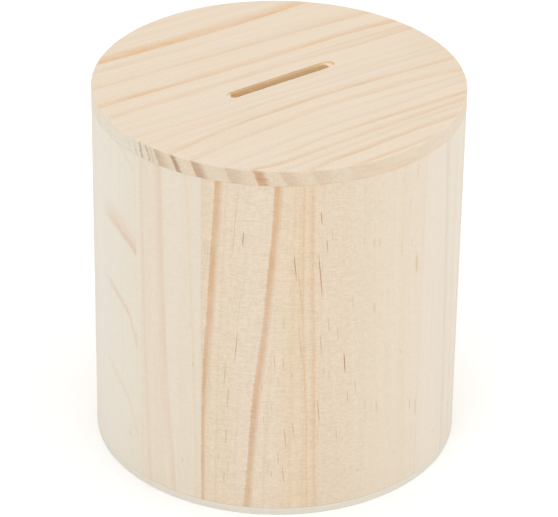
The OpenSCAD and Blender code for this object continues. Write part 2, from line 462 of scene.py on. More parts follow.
def stave_material(k):
    rng = np.random.default_rng(70 + k)
    a0, a1 = JOINTS[k], JOINTS[k + 1]
    tc = (a0 + a1) / 2
    g = G("pine_stave_%02d" % (k + 1))
    x, y, z = g.split(g.spin(g.coords(), -(tc + SIDE)))
    phi = g.math("ARCTAN2", y, x) * (1 / DEG)
    T = phi + tc
    u = phi * PER_DEG
    zt = z * (1 / 105.0)
    seed = 13.7 * k + 3.1

    warp = g.noise(g.vec(u * 0.05, z * 0.02, seed), 1.0, 1.0)
    uw = g.madd(warp, 1.4, u)
    lean_k = lean(tc) * PER_DEG
    us = uw - (z - 50.0) * lean_k if k in (2, 3) else uw
    fibre = g.noise(g.vec(us * 3.4, z * 0.055, seed), 1.0, 3.0, 0.62)
    streak = g.noise(g.vec(us * 0.85, z * 0.013, seed + 5), 1.0, 2.0, 0.55)
    broad = g.noise(g.vec(us * 0.17, z * 0.012, seed + 9), 1.0, 1.0)
    turn = g.noise(g.vec(u * 0.05, z * 1.55, seed + 11), 1.0, 2.0, 0.6)
    fleck = g.noise(g.vec(u * 1.3, z * 1.1, seed + 17), 1.0, 2.0, 0.7)

    # ground colour
    if k in GROUND:
        col = ground(g, T, GROUND[k])
    else:
        lift = (3.5, -4.5, 1.5, -2.0, 4.5, -1.0, 2.0)[k % 7]
        a = np.array([231, 218, 198]) + lift + rng.uniform(-1.5, 1.5, 3) * (0.4, 1, 1.6)
        b = np.array([229, 211, 187]) + lift * 0.5 + rng.uniform(-1.5, 1.5, 3) * (0.4, 1, 1.6)
        col = g.mix(g.madd(broad, 0.9, 0.45, clamp=True), rgb(*a), rgb(*b))
    col = g.mix(g.madd(streak, 0.55, 0.0, clamp=True) * 0.55, col, rgb(226, 203, 174))
    col = g.mix(g.madd(streak, -0.6, 0.0, clamp=True) * 0.5, col, rgb(236, 226, 209))
    col = g.mix(g.madd(fibre, 0.5, 0.02, clamp=True) * 0.3, col, rgb(222, 199, 170))
    col = g.mix(g.madd(fibre, -0.5, 0.02, clamp=True) * 0.28, col, rgb(239, 229, 212))

    # growth lines
    comb = g.noise(g.vec(u * 0.2, z * 2.4, seed + 13), 1.0, 2.0, 0.7)
    wob = turn * 0.3 + comb * 0.34 + g.noise(g.vec(u * 0.5, z * 0.045, seed + 21), 1.0, 2.0) * 0.3
    groups = {}
    lines = LINES.get(k)
    if lines is None:
        lines = []
        if k != 0:
            at = a0 + rng.uniform(2, 5)
            tilt = rng.uniform(-3.0, 3.0)
            sgn = rng.choice([-1, 1])
            while at < a1 - 2:
                s = rng.uniform(0.15, 0.85)
                pts = [(h, at + tilt * (h / 105.0 - 0.5) + rng.uniform(-0.35, 0.35)) for h in (0, 20, 45, 70, 90, 105)]
                lines.append((pts, rng.uniform(0.35, 0.6), sgn * rng.uniform(1.2, 2.4), s, [TAN, ROSE, TAN, GOLD, GREY][rng.integers(5)]))
                at += rng.uniform(4.5, 9.5)
    span_lo, span_hi = (a0 - tc - 8) * PER_DEG, (a1 - tc + 8) * PER_DEG
    along = g.madd(g.noise(g.vec(u * 0.15, z * 0.07, seed + 31), 1.0, 2.0), 0.45, 0.86, clamp=True)
    drift = g.noise(g.vec(u * 0.22, z * 0.22, seed + 29), 1.0, 1.0)
    rows = g.noise(g.vec(u * 0.6 + drift, z * 2.7 + drift * 1.6, seed + 25), 1.0, 2.0, 0.65)
    stripe = g.madd(comb, 0.5, 0.96) + rows * 0.4
    for j, (pts, sharp, soft, strength, colour) in enumerate(lines):
        p = [(h / 105.0, (d - tc) * PER_DEG) for h, d in pts]
        if k == 2 and j == 0:
            # the line runs into the glue joint near the foot and thins as it goes
            p0 = p
            f = line_field(g, u, zt, p0, (span_lo, span_hi), sharp, soft, wob, 1.6)
            thin = line_field(g, u, zt, p0, (span_lo, span_hi), sharp, 1.15, wob, 1.6)
            f = g.madd(g.ramp(z, 22.0, 62.0), f - thin, thin) * g.ramp(z, 4.0, 45.0, 0.8 * strength, strength)
        else:
            f = line_field(g, u, zt, p, (span_lo, span_hi), sharp, soft, wob, 1.7 if colour is AMBER else 1.3) * strength
        if colour is AMBER:
            f = f * stripe
        groups[colour] = g.mx(groups[colour], f) if colour in groups else f
    ridge = 0.0
    for colour, f in groups.items():
        f = f * (along - comb * 0.2)
        paint = rgb(*colour)
        if colour is AMBER:
            paint = g.mix(g.ramp(g.noise(g.vec(u * 0.06, z * 0.05, seed + 61), 1.0, 1.0), -0.25, 0.35), rgb(211, 166, 118), rgb(211, 170, 132))
        col = g.mix(g.math("MULTIPLY", f, 0.96, clamp=True), col, paint)
        ridge = f + ridge if ridge != 0.0 else f
    tone = (T - a0) * (1 / (a1 - a0))
    for pts, up, down, strength in ARCS.get(k, []):
        p = [((d - a0) / (a1 - a0), h) for d, h in pts]
        c = g.curve(tone, p, 0.0, 110.0)
        d = (z - c) + g.noise(g.vec(u * 0.4, z * 0.25, seed + 41), 1.0, 2.0) * 0.9
        d = d + comb * 0.5
        fade = g.ramp(T, -70.0, -57.0) * strength
        f = g.ramp(d, -down, 0.3) * g.ramp(d, up, 0.2) * fade
        line = g.ramp(d, -down, 0.1) * g.ramp(d, 1.9, 0.3) * fade
        col = g.mix(f * 0.62, col, rgb(224, 194, 168))
        col = g.mix(line * 0.26, col, rgb(208, 172, 140))
        ridge = f + ridge if ridge != 0.0 else f

    # resin canals
    flat = g.vec(u, z, 0.0)
    acc = None
    pale = None
    for (ct, z0, z1, w, s) in CANALS:
        if not a0 - 1.2 < ct < a1 + 1.2:
            continue
        zm, hl = (z0 + z1) / 2, (z1 - z0) / 2 + 0.6
        sl = lean(ct) * PER_DEG
        uc = (ct - tc) * PER_DEG
        # a long thin ellipse along the grain
        n = g.node("ShaderNodeVectorMath", operation="DOT_PRODUCT")
        g.put(n.inputs[0], flat)
        n.inputs[1].default_value = (1.0, -sl, 0.0)
        across = S(g, n.outputs["Value"])
        wide = w >= 0.3
        w = w * (0.95 if wide else 0.72)
        d1 = g.madd(across, 1.0 / w, -(uc - sl * zm) / w)
        d2 = g.madd(z, 1.0 / hl, -zm / hl)
        e = g.math("POWER", g.absv(d1), 1.6)
        e = e + g.math("POWER", g.absv(d2), 2.4)
        f = g.madd(e, -1.5 * s, 1.5 * s, clamp=True)
        f = g.mn(f, s * 0.92)
        if wide:
            pale = f if pale is None else g.mx(pale, f)
        else:
            acc = f if acc is None else g.mx(acc, f)
    # scattered small canals everywhere
    dist, rnd = g.cells(g.vec(us * 0.34, z * 0.052, 0.0) if k else g.vec(us * 0.3, z * 0.05, 0.0), 1.0, 0.85)
    rr, rg, rb = g.split(rnd)
    few = g.ramp(rr, 0.80 if k > 4 else 0.9, 1.0)
    small = g.ramp(dist, 0.055, 0.02) * few * 0.42
    acc = small if acc is None else g.mx(acc, small)
    dark = g.mix(rb, rgb(184, 136, 96), rgb(158, 116, 82))
    col = g.mix(acc, col, dark)
    if pale is not None:
        col = g.mix(pale * 1.25, col, rgb(214, 182, 134))

    # turning marks, dark glue lines at the joints, and painted shade along each stave's foot and head where it meets
    # the base and the lid
    col = g.mix(g.madd(turn, 0.45, 0.0, clamp=True) * 0.2, col, rgb(214, 190, 160), "MIX")
    col = g.mix(g.madd(turn, -0.45, 0.0, clamp=True) * 0.18, col, rgb(243, 234, 218), "MIX")
    col = g.mix(g.madd(comb, 0.6, -0.04, clamp=True) * 0.4, col, rgb(215, 188, 158), "MIX")
    col = g.mix(g.madd(comb, -0.6, -0.04, clamp=True) * 0.36, col, rgb(245, 237, 222), "MIX")
    col = g.mix(g.madd(fleck, 0.6, -0.08, clamp=True) * 0.2, col, rgb(205, 178, 146))
    col = g.mix(g.madd(fleck, -0.6, -0.08, clamp=True) * 0.16, col, rgb(244, 236, 222))
    strands = g.noise(g.vec(us * 4.2 + drift * 1.2, z * 0.55, seed + 27), 1.0, 2.0, 0.6)
    grit = g.noise(g.vec(u * 2.6, z * 3.4, seed + 23), 1.0, 2.0, 0.7)
    amp = {0: 0.35, 1: 0.38, 2: 1.0, 4: 0.25}.get(k, 0.5)
    tex = rows * 0.17 + strands * 0.11 + grit * 0.10
    if k == 3:
        tex = tex * g.ramp(T, 20.0, 38.0, 1.0, 0.45)
    else:
        tex = tex * amp
    col = g.mix(1.0, col, tex + 1.0, "MULTIPLY")
    half = (a1 - a0) / 2 * PER_DEG
    joint = g.ramp(g.absv(u), half - 0.14, half - 0.02)
    col = g.mix(joint * 0.12, col, rgb(196, 166, 130))
    # painted shade: each stave darkens towards its foot and its head, in the creases against the base and the lid
    painted_foot_shade = g.ramp(z, BASE_Z + 0.4, BASE_Z + 0.05) * 0.08
    painted_head_shade = g.ramp(z, LID_Z - 0.35, LID_Z - 0.03) * 0.06
    col = g.mix(g.mx(painted_foot_shade, painted_head_shade), col, rgb(196, 168, 134))
    # the bored inside is a little darker
    rad = g.length(g.vec(x, y, 0.0))
    inside = g.ramp(rad, R - 1.0, R - 5.0)
    col = g.mix(inside * 0.35, col, rgb(205, 176, 140))

    rough = g.madd(fibre, 0.07, 0.62) + turn * 0.05
    if ridge != 0.0:
        rough = rough - g.math("MULTIPLY", ridge, 0.07)
    h = fibre * 0.4 + turn * 0.5 + comb * 0.5 + fleck * 0.2 + rows * 0.5
    if ridge != 0.0:
        h = h + ridge * 0.7
    h = h - acc * 2.2
    return g.finish(col, rough, g.bump(h, 0.022 * MM, 0.8), 0.3)


# lid board: growth lines along X, in a plan turned by LID_TURN: (points (across, up), sharp, soft, (strength left, middle, right), colour)
LID_TURN = 3.76
ORANGE = (226, 186, 140)
TAWNY = (223, 192, 158)
ASH = (219, 201, 178)
LID_LINES = [
    ([(-50, 33.2), (-33, 33.9), (-17, 34.0), (0, 34.6), (17, 35.4), (30, 36.6), (50, 38)], 0.5, 4.6, (1.0, 0.62, 0.42), ORANGE),
    ([(-50, 29.0), (-33, 29.3), (-15, 29.4), (0, 29.8), (50, 31)], 0.4, 3.0, (0.42, 0.12, 0.0), TAWNY),
    ([(-50, 21.5), (-40, 21.7), (-10, 21.8), (9, 22.3), (35, 22.3), (50, 21.6)], 0.4, 3.0, (0.4, 0.38, 0.42), TAWNY),
    ([(-50, 25.2), (-4, 25.0), (26, 25.3), (50, 25.8)], 0.5, 1.6, (0.0, 0.16, 0.1), ASH),
    ([(-50, 11.6), (-47, 11.8), (-26, 12.3), (0, 13.0), (17, 13.6), (35, 14.4), (46, 14.0), (50, 13.8)], 0.4, 2.9, (0.68, 0.42, 0.62), ORANGE),
    ([(-50, 4.5), (-48, 4.8), (-26, 5.7), (-9, 6.6), (9, 7.4), (35, 7.4), (50, 8.0)], 0.4, 2.6, (0.42, 0.3, 0.45), TAWNY),
    ([(-50, 7.0), (8, 8.7), (22, 9.6), (50, 10.4)], 0.35, 1.4, (0.0, 0.24, 0.4), TAWNY),
    ([(-50, 0.6), (0, 1.4), (50, 2.6)], 0.5, 1.8, (0.12, 0.05, 0.12), ASH),
    ([(-50, -3.6), (-47, -3.5), (-13, -3.5), (10, -2.4), (50, -1.0)], 0.35, 1.9, (0.3, 0.16, 0.2), ASH),
    ([(-50, -7.6), (-47, -7.4), (-22, -7.0), (-9, -6.4), (22, -5.4), (50, -4.6)], 0.35, 1.6, (0.34, 0.26, 0.26), ASH),
    ([(-50, -12.6), (-37, -11.8), (-22, -10.3), (-13, -9.2), (0, -8.5), (22, -7.9), (50, -7.0)], 0.35, 1.7, (0.36, 0.36, 0.28), ASH),
    ([(-50, -16.2), (-40, -15.0), (-28, -13.8), (-10, -11.6), (50, -10.0)], 0.35, 1.4, (0.34, 0.12, 0.1), ASH),
    ([(-50, -20.6), (-45, -19.8), (-35, -17.5), (-22, -15.3), (-13, -14.4), (-3.5, -13.6), (9, -13.0), (18, -12.7), (35, -13.0), (50, -13.1)],
     0.4, 2.2, (0.5, 0.66, 0.5), TAWNY),
    ([(-50, -26.6), (-42, -25.4), (-31, -23.2), (-18, -21.4), (-9, -20.1), (2, -18.9), (26, -18.7), (50, -20.2)], 0.5, 2.6, (0.42, 0.34, 0.4), TAWNY),
    ([(-50, -34.6), (-37, -32.9), (-32, -32.0), (-24, -31.0), (-13, -29.3), (0, -28.4), (17, -27.6), (40, -25.8), (50, -25.0)], 0.4, 2.0, (0.34, 0.34, 0.3), ASH),
    ([(-50, -23.6), (0, -23.2), (20, -23.0), (50, -22.4)], 0.4, 1.6, (0.0, 0.14, 0.3), ASH),
    ([(-50, -38), (-24, -35.4), (-9, -33.3), (9, -32.0), (26, -31.5), (50, -30.6)], 0.4, 1.8, (0.12, 0.44, 0.5), TAWNY),
    ([(-50, -40.2), (-31, -38.2), (-26, -38.9), (-13, -38.0), (0, -36.8), (17, -35.4), (35, -34.4), (50, -33.5)], 0.4, 1.9, (0.72, 0.36, 0.42), TAWNY),
    ([(-50, -44.5), (-26, -42.6), (-17.5, -41.6), (-5, -40.3), (9, -38.5), (22, -37.6), (50, -36)], 0.4, 1.6, (0.4, 0.3, 0.3), ASH),
    ([(-50, -48), (-21, -45.8), (-13, -44.6), (-4, -43.8), (9, -42.2), (26, -40.7), (50, -39.5)], 0.45, 2.0, (0.4, 0.6, 0.46), TAWNY),
    ([(-50, -52), (0, -49.0), (9, -48.0), (18, -46.9), (50, -44.5)], 0.45, 1.8, (0.2, 0.46, 0.5), TAWNY),
    ([(-50, 41.0), (0, 42.0), (50, 43.0)], 0.6, 2.4, (0.2, 0.16, 0.2), ASH),
    ([(-50, 45.5), (0, 46.8), (50, 48)], 0.6, 1.6, (0.2, 0.16, 0.2), TAWNY),
]


# end grain round the lid's edge: (direction at the top, slant in degrees a mm, width, fade to the right, strength, colour)
RIM = [
    (-52.0, 0.30, 1.2, 1.5, 0.16, (196, 186, 162)), (-48.6, 0.30, 0.8, 0.8, 0.26, (190, 178, 152)),
    (-46.1, 0.33, 0.7, 0.5, 0.78, (170, 150, 122)), (-43.3, 0.42, 0.6, 0.6, 0.6, (168, 142, 114)),
    (-41.6, 0.42, 0.35, 0.5, 0.4, (160, 130, 104)), (-40.1, 0.62, 0.6, 5.2, 0.66, (178, 150, 118)),
    (-33.6, 0.57, 0.9, 1.6, 0.9, (160, 120, 90)), (-26.8, 0.55, 1.7, 3.1, 0.76, (176, 140, 108)),
    (-15.9, 0.45, 0.9, 6.6, 0.5, (190, 162, 134)), (-7.6, 0.5, 1.9, 2.3, 0.92, (196, 146, 106)),
    (0.0, 0.62, 1.6, 5.5, 0.44, (200, 168, 138)), (9.6, 0.6, 1.4, 6.0, 0.34, (204, 172, 142)),
    (20.5, 0.6, 1.0, 5.0, 0.16, (210, 182, 152)),
]


def lid_material():
    g = G("pine_lid")
    P = g.coords()
    px, py, z = g.split(P)
    u, v0, _ = g.split(g.spin(P, LID_TURN))
    deep = TOP - z                                    # below the top face
    v = v0 + deep * 0.45                              # the growth rings lean through the board
    t = g.madd(u, 0.01, 0.5)
    rad = g.length(g.vec(px, py, 0.0))
    edge = g.ramp(rad, R - 0.25, R - 0.02)            # on the turned edge
    endgrain = g.ramp(g.absv(px) * (1 / R), 0.42, 0.9) * edge

    warp = g.noise(g.vec(u * 0.02, v * 0.05, 1.0), 1.0, 1.0)
    vw = g.madd(warp, 0.9, v)
    fibre = g.noise(g.vec(u * 0.05, vw * 2.4, deep * 2.4), 1.0, 3.0, 0.62)
    streak = g.noise(g.vec(u * 0.014, vw * 0.62, deep * 0.62), 1.0, 2.0, 0.5)
    fine = g.noise(g.vec(u * 0.3, vw * 1.8, deep * 1.8), 1.0, 2.0, 0.6)
    broad = g.noise(g.vec(u * 0.02, v * 0.09, 3.0), 1.0, 1.0)
    pores = g.noise(g.vec(vw * 2.6, deep * 2.6, u * 0.2), 1.0, 2.0, 0.7)

    col = g.mix(g.madd(broad, 0.8, 0.5, clamp=True), rgb(237, 220, 198), rgb(236, 217, 193))
    # redder wood towards the rim at the right and in the far band
    warm = g.ramp(u, 30.0, 52.0) * g.ramp(g.absv(v + 10.0), 26.0, 6.0)
    col = g.mix(warm * 0.45, col, rgb(231, 209, 180))
    col = g.mix(g.madd(streak, 1.7, 0.0, clamp=True) * 0.62, col, rgb(235, 208, 176))
    col = g.mix(g.madd(streak, -1.7, 0.0, clamp=True) * 0.72, col, rgb(232, 222, 203))
    col = g.mix(g.madd(fibre, 0.95, 0.0, clamp=True) * 0.46, col, rgb(218, 192, 162))
    col = g.mix(g.madd(fibre, -0.95, 0.0, clamp=True) * 0.42, col, rgb(243, 233, 217))
    # thin closely set growth lines between the strong ones
    thin = g.noise(g.vec(u * 0.016, vw * 1.15, deep * 1.15), 1.0, 1.0, 0.5)
    col = g.mix(g.madd(thin, 2.6, -0.25, clamp=True) * 0.3, col, rgb(219, 192, 162))
    col = g.mix(g.madd(fine, 0.6, -0.05, clamp=True) * 0.16, col, rgb(214, 190, 160))

    wob = fine * 0.22 + g.noise(g.vec(u * 0.05, v * 0.25, 7.0), 1.0, 2.0) * 0.4
    along = g.madd(g.noise(g.vec(u * 0.07, v * 0.3, 12.0), 1.0, 2.0), 0.55, 0.84, clamp=True)
    groups = {}
    for pts, sharp, soft, s3, colour in LID_LINES:
        p = [((a + 50) / 100.0, b) for a, b in pts]
        f = line_field(g, v, t, p, (-56.0, 56.0), sharp * 0.8, soft, wob, 1.15)
        s = g.madd(g.ramp(t, 0.12, 0.5), s3[1] - s3[0], s3[0]) + g.ramp(t, 0.55, 0.95) * (s3[2] - s3[1])
        f = f * s
        groups[colour] = g.mx(groups[colour], f) if colour in groups else f
    broken = g.madd(g.noise(g.vec(u * 0.16, v * 0.5, 21.0), 1.0, 2.0), 0.5, 0.98, clamp=True)
    total = None
    for colour, f in groups.items():
        f = g.math("MULTIPLY", f * along * broken, g.ramp(t, 0.1, 0.45, 1.12, 1.48), clamp=True)
        col = g.mix(f, col, rgb(*colour))
        total = f if total is None else g.mx(total, f)
    # end grain drinks the light: the same rings come out as dark slanting marks
    T = g.math("ARCTAN2", py, px) * (1 / DEG) - SIDE
    T = g.math("WRAP", T, 180.0, -180.0)
    comb = g.noise(g.vec(T * 0.09, deep * 3.6, 5.0), 1.0, 2.0, 0.7)
    near_rim = edge * g.ramp(g.absv(T - 0.0), 96.0, 84.0)
    far_rim = edge - near_rim
    col = g.mix(g.mx(edge * 0.5, near_rim * 0.84), col, rgb(224, 206, 181))
    col = g.mix(near_rim * g.ramp(T, -34.0, -52.0) * 0.85, col, rgb(228, 220, 204))
    col = g.mix(near_rim * g.ramp(T, 22.0, 60.0) * 0.75, col, rgb(230, 214, 193))
    late = g.madd(total, 2.6, -0.35, clamp=True)
    col = g.mix(late * far_rim * endgrain * 0.8, col, rgb(182, 140, 104))
    col = g.mix(late * ((edge - near_rim) * 0.32), col, rgb(224, 188, 148))
    col = g.mix(late * (near_rim * 0.12), col, rgb(224, 188, 148))
    rimf = None
    rwob = comb * 0.95 + g.noise(g.vec(T * 0.25, deep * 0.8, 2.0), 1.0, 1.0) * 0.5
    for at, slant, wide, fade, strength, colour in RIM:
        d = T - (g.madd(deep, slant, at)) + rwob
        f = g.ramp(d, -0.2, 0.35) * g.ramp(d, wide + fade, wide) * near_rim
        f = f * strength * g.madd(comb, -0.95, 0.84, clamp=True)
        col = g.mix(f, col, rgb(*colour))
        rimf = f if rimf is None else g.mx(rimf, f)
    col = g.mix(g.madd(comb, 0.7, -0.03, clamp=True) * edge * 0.46, col, rgb(202, 180, 152))
    col = g.mix(g.madd(comb, -0.7, -0.03, clamp=True) * edge * 0.4, col, rgb(238, 229, 212))
    pits = g.madd(pores, 1.3, -0.3, clamp=True) * g.mx(far_rim * endgrain, near_rim * g.ramp(g.absv(T + 42.0), 2.6, 1.2))
    col = g.mix(pits * 0.7, col, rgb(158, 130, 104))

    # the routed slot, with its end grain at both ends: a warm orange wall, its colour raised a little and painted
    # lighter still with depth, as painted light against the shade down in the slot
    sx = g.mx(g.absv(px - PASS_X) - (PASS_L - SLOT_W) / 2, 0.0)
    sd = g.length(g.vec(sx, py - SLOT_Y, 0.0))
    wall = g.ramp(sd, SLOT_W / 2 + 0.2, SLOT_W / 2 + 0.05) * g.ramp(deep, 0.06, 0.22)
    slot_wall_colour_and_painted_light = g.mix(g.madd(streak, 0.9, 0.5, clamp=True), rgb(252, 214, 166, 1.04), rgb(248, 204, 150, 1.04))
    # painted light: the slot wall gets lighter with depth, to cancel the shade down in the slot
    slot_wall_colour_and_painted_light = g.mix(g.ramp(deep, 0.9, 3.6), slot_wall_colour_and_painted_light, rgb(255, 238, 204, 1.12))
    slot_wall_colour_and_painted_light = g.mix(g.ramp(deep, PASS_T + 0.25, PASS_T - 0.1), slot_wall_colour_and_painted_light, rgb(246, 218, 176))
    col = g.mix(wall * 0.95, col, slot_wall_colour_and_painted_light)
    # floor of the shallow pass
    ledge = g.ramp(g.absv(deep - PASS_T), 0.08, 0.03) * g.ramp(sd, SLOT_W / 2 + 0.02, SLOT_W / 2 - 0.12)
    col = g.mix(ledge * 0.9, col, rgb(244, 226, 200))
    grit = g.noise(g.vec(u * 1.9, v * 3.6, deep * 2.8), 1.0, 2.0, 0.7)
    tex = grit * g.ramp(u, -30.0, 5.0, 0.2, 0.13) + fibre * 0.06 + thin * 0.06
    col = g.mix(1.0, col, tex + 1.0, "MULTIPLY")
    # worn slot lip, painted highlight along the lid's top arris, and painted shade along the lid's lower edge above the
    # staves
    lip = g.ramp(sd, SLOT_W / 2 + 0.55, SLOT_W / 2 + 0.1) * g.ramp(deep, 0.2, 0.05)
    col = g.mix(lip * 0.3, col, rgb(242, 226, 202))
    # painted highlight: a pale line along the lid's top outer arris
    painted_rim_highlight = g.ramp(rad, R - 0.75, R - 0.3) * g.ramp(deep, 0.5, 0.1)
    col = g.mix(painted_rim_highlight * 0.15, col, rgb(240, 228, 208))
    # painted shade: the lid's turned edge darkens just above its joint with the staves
    painted_lid_joint_shade = g.ramp(deep, (TOP - LID_Z) - 0.35, (TOP - LID_Z) - 0.03) * edge
    col = g.mix(painted_lid_joint_shade * 0.07, col, rgb(188, 156, 120))

    rough = g.madd(fibre, 0.07, 0.6) - total * 0.06 + endgrain * 0.12
    h = fibre * 0.5 + fine * 0.25 + total * 0.6 + comb * edge * 0.7 - pits * 1.4 + rimf * 0.4
    return g.finish(col, rough, g.bump(h, 0.022 * MM, 0.8), 0.3)


def base_material():
    g = G("pine_base")
    P = g.coords()
    x, y, z = g.split(P)
    rad = g.length(g.vec(x, y, 0.0))
    yw = g.madd(g.noise(g.vec(x * 0.02, y * 0.05, 1.0), 1.0, 1.0), 2.2, y)
    fibre = g.noise(g.vec(x * 0.06, yw * 3.2, z * 3.0), 1.0, 3.0, 0.62)
    streak = g.noise(g.vec(x * 0.014, yw * 0.6, z * 0.9), 1.0, 2.0, 0.55)
    fine = g.noise(g.vec(x * 0.5, yw * 1.6, z * 1.6), 1.0, 2.0, 0.6)
    ringn = g.noise(g.vec(x * 0.012, yw * 0.16, 4.0), 1.0, 1.0)
    saw = g.math("FRACT", yw * 0.21 + ringn * 1.3)
    late = g.ramp(saw, 0.55, 0.93) * g.ramp(saw, 1.0, 0.95)
    col = g.mix(g.madd(streak, 0.8, 0.4, clamp=True), rgb(234, 225, 209), rgb(231, 216, 193))
    col = g.mix(late * 0.45, col, rgb(219, 192, 158))
    col = g.mix(g.madd(fibre, 0.5, 0.02, clamp=True) * 0.3, col, rgb(222, 201, 172))
    col = g.mix(g.madd(fibre, -0.5, 0.02, clamp=True) * 0.3, col, rgb(242, 234, 220))
    # the visible edge: pale, cut across thin layers
    edge = g.ramp(rad, R - 0.6, R - 0.1)
    zz = z + g.noise(g.vec(x * 0.12, y * 0.12, 9.0), 1.0, 1.0) * 0.06
    col = g.mix(edge * 0.85, col, rgb(231, 227, 215))
    mid = g.ramp(g.absv(zz - 1.0), 0.42, 0.3)
    col = g.mix(mid * edge * 0.4, col, rgb(224, 216, 199))
    seam = g.mx(g.ramp(g.absv(zz - 0.62), 0.1, 0.02), g.ramp(g.absv(zz - 1.4), 0.1, 0.02))
    col = g.mix(seam * edge * 0.3, col, rgb(206, 194, 172))
    # painted shade: the base's visible edge darkens just under its joint with the staves
    painted_base_joint_shade = g.ramp(z, BASE_Z - 0.3, BASE_Z - 0.03) * edge
    col = g.mix(painted_base_joint_shade * 0.16, col, rgb(206, 184, 154))
    # bored wall of the outlet
    cut = g.ramp(g.absv(rad - OUT_R), 0.3, 0.03)
    col = g.mix(cut * 0.5, col, rgb(206, 174, 134))
    scuff = g.ramp(g.noise(g.vec(x * 0.09, y * 0.11, 31.0), 1.0, 3.0), 0.15, 0.7) * g.ramp(z, 0.2, 0.02)
    col = g.mix(scuff * 0.16, col, rgb(196, 178, 154))
    rough = g.madd(fibre, 0.06, 0.63) + scuff * 0.06
    h = fibre * 0.5 + fine * 0.25 + late * 0.6
    return g.finish(col, rough, g.bump(h, 0.022 * MM, 0.8), 0.3)


def stopper_material():
    g = G("stopper_rubber")
    P = g.coords()
    x, y, z = g.split(P)
    rad = g.length(g.vec(x, y, 0.0))
    grain = g.noise(P, 3.2, 3.0, 0.65)
    cloud = g.noise(P, 0.12, 2.0)
    swirl = g.noise(g.vec(x * 0.5, y * 0.06, z * 0.3), 1.0, 2.0)
    col = g.mix(g.madd(cloud, 0.7, 0.5, clamp=True), rgb(42, 42, 44), rgb(52, 51, 52))
    col = g.mix(g.ramp(swirl, 0.1, 0.8) * 0.4, col, rgb(62, 61, 61))
    worn = g.ramp(rad, FL_R - 0.9, FL_R - 0.15) * g.ramp(z, FL_Z + 0.6, FL_Z + 0.1)
    col = g.mix(worn * 0.4, col, rgb(82, 80, 79))
    dust = g.ramp(grain, 0.35, 0.9)
    col = g.mix(dust * 0.2, col, rgb(96, 92, 88))
    rough = g.madd(grain, 0.08, 0.55) + worn * 0.08
    return g.finish(col, rough, g.bump(grain, 0.02 * MM, 0.7), 0.45)


# ---------------------------------------------------------------- pieces
def build_lid(mat):
    n = 640
    through = stadium(n, SLOT_L, SLOT_W - 0.08, 0.0, 0.0, SLOT_X, SLOT_Y)
    out_t = stadium(n, SLOT_L, SLOT_W - 0.08, 0.0, 1.0, SLOT_X, SLOT_Y) - through      # away from the slot
    upper = stadium(n, PASS_L, SLOT_W, 0.0, 0.0, PASS_X, SLOT_Y)
    out_u = stadium(n, PASS_L, SLOT_W, 0.0, 1.0, PASS_X, SLOT_Y) - upper
    chat = 0.012 * smooth_noise(n, 5, 60) + 0.014 * smooth_noise(n, 6, 18)
    lip = 0.16 * (1 + 0.35 * smooth_noise(n, 7, 30))
    th = np.linspace(0, 2 * np.pi, n, endpoint=False)
    rr = 0.36 * (1 + 0.22 * smooth_noise(n, 8, 24))
    circ = np.stack([np.cos(th), np.sin(th), np.zeros(n)], 1)

    def slot_ring(grow, z):
        p = through + out_t * np.broadcast_to(grow, n)[:, None]
        p[:, 2] = z
        return p

    def pass_ring(grow, z):
        p = upper + out_u * np.broadcast_to(grow, n)[:, None]
        p[:, 2] = z
        return p

    def disc_ring(r, z):
        p = circ * np.broadcast_to(r, n)[:, None]
        p[:, 2] = z
        return p

    ledge = TOP - PASS_T
    loops = [slot_ring(0.12, LID_Z), slot_ring(0.04, LID_Z + 0.04), slot_ring(chat * 0.5, LID_Z + 0.14)]
    for z in np.arange(LID_Z + 0.5, ledge - 0.3, 0.4):
        loops.append(slot_ring(chat * math.cos(z * 1.3) * 0.6, z))
    loops += [slot_ring(0.0, ledge - 0.06), slot_ring(0.012, ledge - 0.015), slot_ring(0.03, ledge)]
    loops += [slot_ring(0.03, ledge) * (1 - t) + pass_ring(-0.012, ledge) * t for t in (0.35, 0.7, 1.0)]
    loops += [pass_ring(chat * 0.3, ledge + 0.03), pass_ring(chat * 0.5, ledge + 0.2)]
    for a in np.linspace(0, math.pi / 2, 6):
        loops.append(pass_ring(lip * (1 - math.cos(a)), TOP - lip * (1 - math.sin(a))))
    inner, outer = loops[-1], disc_ring(R - 0.012 - rr, TOP)
    ts = np.concatenate([[0.006, 0.014, 0.026], np.linspace(0.045, 0.97, 46), [0.985, 0.995]])
    for t in ts:
        p = inner * (1 - t) + outer * t
        # sanding leaves the late wood a hair proud and the middle a hair low
        sink = 0.010 + 0.008 * np.sin(p[:, 1] * 1.7 + 0.05 * p[:, 0] + 2 * np.sin(p[:, 0] * 0.04))
        p[:, 2] = TOP - sink * min(1.0, t * 12, (1 - t) * 20)
        loops.append(p)
    for a in np.linspace(0, math.pi / 2, 7):
        loops.append(disc_ring(R - 0.012 - rr + rr * math.sin(a), TOP - rr * (1 - math.cos(a))))
    for z in np.linspace(TOP - 0.9, LID_Z + 0.25, 8):
        loops.append(disc_ring(R - 0.015 - 0.006 * np.sin(th * 31 + z * 4), z))
    b = 0.06 * (1 + 0.4 * smooth_noise(n, 9, 50))
    for a in np.linspace(0, math.pi / 2, 4):
        loops.append(disc_ring(R - 0.01 - b * (1 - math.cos(a)), LID_Z + b * (1 - math.sin(a))))
    for t in np.linspace(0.04, 0.96, 12):
        loops.append(loops[-1] * 0 + (disc_ring(R - 0.2, LID_Z) * (1 - t) + slot_ring(0.2, LID_Z) * t))
    ob = skin("lid_board", loops, mat, closed=True)
    face_out(ob)
    return ob


